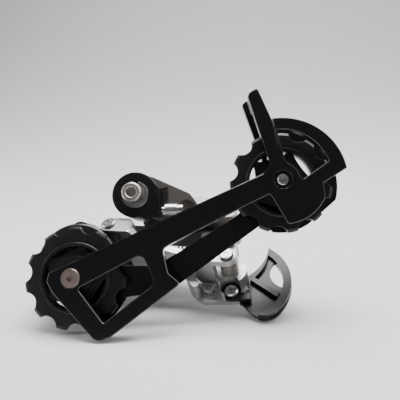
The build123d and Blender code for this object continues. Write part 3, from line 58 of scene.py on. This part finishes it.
def make_surface_group():
    """Fine grain and handling marks: a height for bump, a roughness and a tone that vary."""
    tree = new_group("surface grain", (
        ("Grain Scale", "NodeSocketFloat", 900.0), ("Stretch", "NodeSocketVector", (1, 1, 1)),
        ("Mark Scale", "NodeSocketFloat", 60.0), ("Roughness", "NodeSocketFloat", 0.4),
        ("Roughness Spread", "NodeSocketFloat", 0.1), ("Color", "NodeSocketColor", (0.5, 0.5, 0.5, 1)),
        ("Tone Spread", "NodeSocketFloat", 0.1),
    ), (("Color", "NodeSocketColor"), ("Roughness", "NodeSocketFloat"), ("Height", "NodeSocketFloat")))
    link = tree.links.new
    given = add_node(tree, "NodeGroupInput")
    result = add_node(tree, "NodeGroupOutput")
    place = add_node(tree, "ShaderNodeTexCoord")
    stretched = add_node(tree, "ShaderNodeVectorMath", operation="MULTIPLY")
    link(place.outputs["Object"], stretched.inputs[0])
    link(given.outputs["Stretch"], stretched.inputs[1])
    grain = add_node(tree, "ShaderNodeTexNoise")
    grain.inputs["Detail"].default_value = 3.0
    link(stretched.outputs[0], grain.inputs["Vector"])
    link(given.outputs["Grain Scale"], grain.inputs["Scale"])
    marks = add_node(tree, "ShaderNodeTexNoise")
    marks.inputs["Detail"].default_value = 5.0
    marks.inputs["Roughness"].default_value = 0.6
    link(place.outputs["Object"], marks.inputs["Vector"])
    link(given.outputs["Mark Scale"], marks.inputs["Scale"])
    centred = add_node(tree, "ShaderNodeMath", operation="SUBTRACT")
    link(marks.outputs["Fac"], centred.inputs[0])
    centred.inputs[1].default_value = 0.5
    spread = add_node(tree, "ShaderNodeMath", operation="MULTIPLY_ADD", use_clamp=True)
    link(centred.outputs[0], spread.inputs[0])
    link(given.outputs["Roughness Spread"], spread.inputs[1])
    link(given.outputs["Roughness"], spread.inputs[2])
    tone = add_node(tree, "ShaderNodeMath", operation="MULTIPLY_ADD")
    link(centred.outputs[0], tone.inputs[0])
    link(given.outputs["Tone Spread"], tone.inputs[1])
    tone.inputs[2].default_value = 1.0
    tinted = add_node(tree, "ShaderNodeVectorMath", operation="SCALE")
    link(given.outputs["Color"], tinted.inputs[0])
    link(tone.outputs[0], tinted.inputs["Scale"])
    link(tinted.outputs[0], result.inputs["Color"])
    link(spread.outputs[0], result.inputs["Roughness"])
    link(grain.outputs["Fac"], result.inputs["Height"])
    return tree


EDGE_RADIUS = 0.00022        # metres: how wide the strip along an edge is that is painted lighter, as rubbed coat and as a painted highlight


def make_wear_and_highlight_group():
    """Rubbed edges and painted edge highlight: the colour with patches of a lighter colour along sharp
    edges, partly rubbed metal and partly a painted highlight, and a softened normal.
    """
    tree = new_group("edge rub and painted highlight", (
        ("Color", "NodeSocketColor", (0.5, 0.5, 0.5, 1)),
        ("Bare And Highlight Color", "NodeSocketColor", (0.5, 0.5, 0.5, 1)),
        ("Amount", "NodeSocketFloat", 0.5), ("Patch Scale", "NodeSocketFloat", 220.0),
    ), (("Color", "NodeSocketColor"), ("Normal", "NodeSocketVector")))
    link = tree.links.new
    given = add_node(tree, "NodeGroupInput")
    result = add_node(tree, "NodeGroupOutput")
    place = add_node(tree, "ShaderNodeTexCoord")
    geometry = add_node(tree, "ShaderNodeNewGeometry")
    rounded = add_node(tree, "ShaderNodeBevel", samples=6)
    rounded.inputs["Radius"].default_value = EDGE_RADIUS
    facing = add_node(tree, "ShaderNodeVectorMath", operation="DOT_PRODUCT")
    link(rounded.outputs["Normal"], facing.inputs[0])
    link(geometry.outputs["Normal"], facing.inputs[1])
    edge = add_node(tree, "ShaderNodeMapRange")
    link(facing.outputs["Value"], edge.inputs["Value"])
    edge.inputs["From Min"].default_value = 0.985
    edge.inputs["From Max"].default_value = 0.80
    patches = add_node(tree, "ShaderNodeTexNoise")
    patches.inputs["Detail"].default_value = 4.0
    link(place.outputs["Object"], patches.inputs["Vector"])
    link(given.outputs["Patch Scale"], patches.inputs["Scale"])
    broken = add_node(tree, "ShaderNodeMapRange")
    link(patches.outputs["Fac"], broken.inputs["Value"])
    broken.inputs["From Min"].default_value = 0.42
    broken.inputs["From Max"].default_value = 0.66
    rubbed_and_highlit = add_node(tree, "ShaderNodeMath", operation="MULTIPLY")
    link(edge.outputs["Result"], rubbed_and_highlit.inputs[0])
    link(broken.outputs["Result"], rubbed_and_highlit.inputs[1])
    mask = add_node(tree, "ShaderNodeMath", operation="MULTIPLY", use_clamp=True)
    link(rubbed_and_highlit.outputs[0], mask.inputs[0])
    link(given.outputs["Amount"], mask.inputs[1])
    # painted highlight: the lighter colour mixed in along the edges stands partly for rubbed coat and partly
    # for the light that the edges catch
    bared_and_highlit = add_node(tree, "ShaderNodeMix", data_type="RGBA")
    link(mask.outputs[0], bared_and_highlit.inputs["Factor"])
    link(given.outputs["Color"], bared_and_highlit.inputs[6])
    link(given.outputs["Bare And Highlight Color"], bared_and_highlit.inputs[7])
    link(bared_and_highlit.outputs[2], result.inputs["Color"])
    link(rounded.outputs["Normal"], result.inputs["Normal"])
    return tree


surface_grain = make_surface_group()
edge_wear_and_highlight = make_wear_and_highlight_group()


def finish(name, color, roughness, metallic=0.0, coat=0.0, grain=900.0, stretch=(1, 1, 1), depth=0.02,
           spread=0.12, tone=0.15, marks=60.0, specular=0.5, bare_and_highlight=None, wear_and_highlight=0.5):
    """A surface with fine grain and faint handling marks, and lighter edges where an edge colour is given:
    partly rubbed coat, partly a painted highlight.
    """
    material = bpy.data.materials.new(name)
    material.use_nodes = True
    tree = material.node_tree
    shader = tree.nodes["Principled BSDF"]
    shader.inputs["Metallic"].default_value = metallic
    shader.inputs["Coat Weight"].default_value = coat
    shader.inputs["Coat Roughness"].default_value = 0.15
    shader.inputs["Specular IOR Level"].default_value = specular
    group = add_node(tree, "ShaderNodeGroup", node_tree=surface_grain)
    group.inputs["Grain Scale"].default_value = grain
    group.inputs["Stretch"].default_value = stretch
    group.inputs["Mark Scale"].default_value = marks
    group.inputs["Roughness"].default_value = roughness
    group.inputs["Roughness Spread"].default_value = spread
    group.inputs["Color"].default_value = (*color, 1)
    group.inputs["Tone Spread"].default_value = tone
    bump = add_node(tree, "ShaderNodeBump")
    bump.inputs["Strength"].default_value = depth
    bump.inputs["Distance"].default_value = 0.001
    tree.links.new(group.outputs["Height"], bump.inputs["Height"])
    tree.links.new(bump.outputs["Normal"], shader.inputs["Normal"])
    # lighter edges: partly rubbed coat and partly a painted edge highlight
    if bare_and_highlight:
        edges = add_node(tree, "ShaderNodeGroup", node_tree=edge_wear_and_highlight)
        edges.inputs["Bare And Highlight Color"].default_value = (*bare_and_highlight, 1)
        edges.inputs["Amount"].default_value = wear_and_highlight
        tree.links.new(group.outputs["Color"], edges.inputs["Color"])
        tree.links.new(edges.outputs["Color"], shader.inputs["Base Color"])
        tree.links.new(edges.outputs["Normal"], bump.inputs["Normal"])
    else:
        tree.links.new(group.outputs["Color"], shader.inputs["Base Color"])
    tree.links.new(group.outputs["Roughness"], shader.inputs["Roughness"])
    return material


def coat(material, *nodes):
    """Gives CAD nodes this finish."""
    for name in nodes:
        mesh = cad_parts[name].data
        mesh.materials.clear()
        mesh.materials.append(material)


bolt_steel = finish("warm zinc steel", (0.44, 0.41, 0.385), 0.42, metallic=1.0, depth=0.05, tone=0.3,
                    marks=140.0)
spring_steel = finish("spring steel", (0.40, 0.40, 0.41), 0.30, metallic=1.0)
coat(bolt_steel, "hanger_bolt")
coat(spring_steel, "bolt_clip")

# ---- Tension plate -------------------------------------------------------------------------------
# A stamped steel washer plate under the bolt, coated black. The adjusting screw leans on its
# turned-in tab.
# Its lighter edge colour is partly rubbed coat and partly a painted highlight along the edges.
plate_black = finish("black washer plate", (0.006, 0.006, 0.007), 0.33, depth=0.05, specular=0.4,
                     bare_and_highlight=(0.12, 0.12, 0.125))
coat(plate_black, "tension_plate")

# ---- Hanger knuckle ------------------------------------------------------------------------------
# A die-cast aluminium body, tumbled and painted in a warm satin grey with a fine metal flake.
# Its lighter edge colour is partly rubbed paint and partly a painted highlight along the edges.
knuckle_grey = finish("warm grey paint", (0.29, 0.262, 0.245), 0.38, metallic=0.9, coat=0.1, grain=2200.0,
                      depth=0.05, tone=0.22, bare_and_highlight=(0.5, 0.48, 0.46))
bronze = finish("oiled bronze", (0.34, 0.25, 0.15), 0.42, metallic=1.0)
coat(knuckle_grey, "hanger_knuckle")
coat(bronze, "hanger_bushes", "outer_link_bushes", "inner_link_bushes", "spindle_bushes")

# ---- Adjusting screws ----------------------------------------------------------------------------
# Small socket screws in zinc-plated steel; the one against the washer plate runs in a turned
# aluminium barrel.
bright_steel = finish("bright screw steel", (0.60, 0.60, 0.59), 0.27, metallic=1.0, depth=0.02)
turned_aluminium = finish("turned aluminium", (0.66, 0.66, 0.66), 0.30, metallic=1.0, grain=700.0,
                          stretch=(9, 1, 1), depth=0.06)
coat(bright_steel, "adjust_screw", "high_limit_screw", "low_limit_screw")
coat(turned_aluminium, "adjust_barrel")

# ---- Links ----------------------------------------------------------------------------------------
# Two pressed and machined links carry the lower knuckle. The one that shows is satin silver, the
# other one is anodised dark.
link_silver = finish("satin silver", (0.55, 0.55, 0.54), 0.44, metallic=1.0, grain=500.0, stretch=(1, 1, 8),
                     depth=0.08, tone=0.2)
link_dark = finish("dark anodised", (0.075, 0.075, 0.08), 0.42, metallic=0.8)
coat(link_silver, "inner_link")
coat(link_dark, "outer_link")

# ---- Link pins, their clips and the return spring ------------------------------------------------
# Headed steel pins, each held by an open clip below, and an extension spring on the diagonal.
pin_steel = finish("pin steel", (0.50, 0.50, 0.49), 0.29, metallic=1.0)
coat(pin_steel, "inner_hanger_pin", "outer_hanger_pin", "inner_knuckle_pin", "outer_knuckle_pin")
coat(spring_steel, "hanger_pin_clips", "knuckle_pin_clips", "return_spring")

# ---- Cable fan and its fasteners -----------------------------------------------------------------
# A moulded sector of glass-filled nylon that the cable lies on, black with a soft sheen. One
# screw holds it, and a washer clamps the cable under the anchor bolt.
# Its lighter edge colour is partly rubbed moulding and partly a painted highlight along the edges.
fan_black = finish("black moulding", (0.004, 0.004, 0.006), 0.30, specular=0.35, grain=1500.0, depth=0.06,
                   spread=0.1, bare_and_highlight=(0.05, 0.05, 0.052))
coat(fan_black, "cable_fan")
coat(bright_steel, "fan_screw", "anchor_bolt", "anchor_washer")

# ---- Lower knuckle, its cover and its lock -------------------------------------------------------
# The drum that hides the cage spring and the clutch, painted charcoal, with a screwed cover
# behind it and a light plastic button on top.
# Its lighter edge colour is partly rubbed paint and partly a painted highlight along the edges.
knuckle_charcoal = finish("charcoal paint", (0.016, 0.016, 0.018), 0.36, coat=0.1, grain=2200.0,
                          depth=0.05, bare_and_highlight=(0.10, 0.10, 0.10))
button_grey = finish("light grey moulding", (0.52, 0.52, 0.50), 0.45)
coat(knuckle_charcoal, "spring_knuckle", "clutch_cover")
coat(bright_steel, "cover_screws")
coat(spring_steel, "cage_spring", "clutch_band", "clutch_hub", "clutch_rollers")
coat(button_grey, "lock_button")

# ---- Cage: two plates, spindle and stop pin ------------------------------------------------------
# Stamped steel plates with bevelled edges under a glossy black coat, riveted on the spindle.
# The light lines along the plate edges are partly rubbed coat and partly a painted highlight on the bevels.
cage_black = finish("glossy black plate", (0.004, 0.004, 0.005), 0.22, coat=0.15, grain=600.0,
                    depth=0.015, spread=0.14, marks=90.0, specular=0.45, bare_and_highlight=(0.22, 0.22, 0.23), wear_and_highlight=0.8)
coat(cage_black, "inner_plate", "outer_plate")
coat(spring_steel, "cage_spindle", "stop_pin")

# ---- Pulleys, bearings and pulley bolts ----------------------------------------------------------
# Moulded charcoal pulleys on sealed steel bearings. The guide bolt is flush in the plate.
# The lighter rings along the pulley edges are partly rubbed nylon and partly a painted highlight.
pulley_charcoal = finish("charcoal nylon", (0.008, 0.008, 0.009), 0.38, grain=1400.0, depth=0.08, tone=0.25,
                         specular=0.38, bare_and_highlight=(0.06, 0.06, 0.063))
cap_black = finish("blackened cap steel", (0.030, 0.030, 0.032), 0.28, metallic=0.6, grain=700.0, depth=0.03)
cap_steel = finish("race steel", (0.42, 0.42, 0.43), 0.28, metallic=1.0)
bolt_brown = finish("browned steel", (0.44, 0.35, 0.32), 0.36, metallic=1.0)
coat(pulley_charcoal, "guide_pulley", "tension_pulley")
coat(cap_black, "guide_dust_caps", "tension_dust_caps")
coat(cap_steel, "guide_inner_race", "tension_inner_race", "guide_outer_race", "tension_outer_race")
coat(bright_steel, "guide_balls", "tension_balls")
coat(bolt_brown, "guide_bolt")
coat(bright_steel, "tension_bolt")

# ---- Studio ----------------------------------------------------------------------------------------
# A pale paper sweep under soft lamps: a broad one overhead, one that washes the paper behind, and a
# card at each side. The room in front stays dim, so the black plates reflect little.
FLOOR_LEVEL = cad_box[0][2]
SWEEP_WIDTH, SWEEP_FRONT, SWEEP_BACK = 8.0, -1.6, 0.25
SWEEP_CURVE, SWEEP_RISE = 1.5, 3.0


def make_sweep():
    """A paper floor that curves up into a wall behind."""
    mesh = bmesh.new()
    front = mesh.verts.new((0, SWEEP_FRONT, FLOOR_LEVEL))
    foot = mesh.verts.new((0, SWEEP_BACK, FLOOR_LEVEL))
    mesh.edges.new((front, foot))
    bmesh.ops.spin(mesh, geom=[foot], cent=(0, SWEEP_BACK, FLOOR_LEVEL + SWEEP_CURVE), axis=(1, 0, 0),
                   angle=pi / 2, steps=64)
    top = max(mesh.verts, key=lambda v: v.co.z)
    rise = bmesh.ops.extrude_vert_indiv(mesh, verts=[top])
    bmesh.ops.translate(mesh, verts=rise["verts"], vec=(0, 0, SWEEP_RISE))
    bmesh.ops.translate(mesh, verts=mesh.verts, vec=(-SWEEP_WIDTH / 2, 0, 0))
    wide = bmesh.ops.extrude_edge_only(mesh, edges=mesh.edges[:])
    moved = [v for v in wide["geom"] if isinstance(v, bmesh.types.BMVert)]
    bmesh.ops.translate(mesh, verts=moved, vec=(SWEEP_WIDTH, 0, 0))
    bmesh.ops.recalc_face_normals(mesh, faces=mesh.faces)
    data = bpy.data.meshes.new("paper sweep")
    mesh.to_mesh(data)
    mesh.free()
    data.shade_smooth()
    sweep = bpy.data.objects.new("paper sweep", data)
    bpy.context.collection.objects.link(sweep)
    return sweep


sweep = make_sweep()
paper = finish("pale paper", (0.74, 0.745, 0.75), 0.9, depth=0.0, tone=0.02, spread=0.02, marks=3.0,
               specular=0.2)
sweep.data.materials.append(paper)


def hang_lamp(name, place, target, size, power, tint=(1, 1, 1)):
    lamp = bpy.data.lights.new(name, "AREA")
    lamp.shape = "RECTANGLE"
    lamp.size, lamp.size_y = size
    lamp.energy = power
    lamp.color = tint
    holder = bpy.data.objects.new(name, lamp)
    bpy.context.collection.objects.link(holder)
    aim = Vector(target) - Vector(place)
    holder.location = place
    holder.rotation_euler = aim.to_track_quat("-Z", "Y").to_euler()


middle = (0.03, 0.0, 0.0)    # the spot on the part that the lamps are turned to
hang_lamp("overhead", (0.05, 0.10, 0.70), middle, (0.6, 0.45), 9.5)
hang_lamp("wall wash", (0.3, 0.1, 1.6), (0.2, 1.4, 0.3), (1.6, 0.8), 30.0)
hang_lamp("left card", (-0.9, -0.05, 0.45), middle, (0.5, 0.7), 5.0)
hang_lamp("right card", (0.85, 0.0, 0.5), middle, (0.5, 0.8), 6.0)

world = bpy.data.worlds.new("studio air")
world.use_nodes = True
room = world.node_tree.nodes["Background"]
room.inputs["Color"].default_value = (0.80, 0.81, 0.83, 1)
room.inputs["Strength"].default_value = 0.13
backdrop = add_node(world.node_tree, "ShaderNodeBackground")
backdrop.inputs["Color"].default_value = (0.62, 0.625, 0.63, 1)
seen = add_node(world.node_tree, "ShaderNodeLightPath")
either = add_node(world.node_tree, "ShaderNodeMixShader")
world.node_tree.links.new(seen.outputs["Is Camera Ray"], either.inputs[0])
world.node_tree.links.new(room.outputs[0], either.inputs[1])
world.node_tree.links.new(backdrop.outputs[0], either.inputs[2])
world.node_tree.links.new(either.outputs[0], world.node_tree.nodes["World Output"].inputs["Surface"])
bpy.context.scene.world = world

camera_data = bpy.data.cameras.new("camera")
camera_data.lens = 36.0
camera_data.sensor_width = 36.0
camera_data.clip_start = 0.01
camera = bpy.data.objects.new("camera", camera_data)
bpy.context.collection.objects.link(camera)
CAMERA_PLACE = Vector((0.0452, -0.2038, 0.0326))
look = Vector((-0.0537, 0.9835, -0.1726)).normalized()
up = Vector((0.008, 0.1735, 0.9848))
side = look.cross(up).normalized()
up = side.cross(look)
turned = Matrix((side, up, -look)).transposed().to_4x4()
camera.matrix_world = Matrix.Translation(CAMERA_PLACE) @ turned
bpy.context.scene.camera = camera
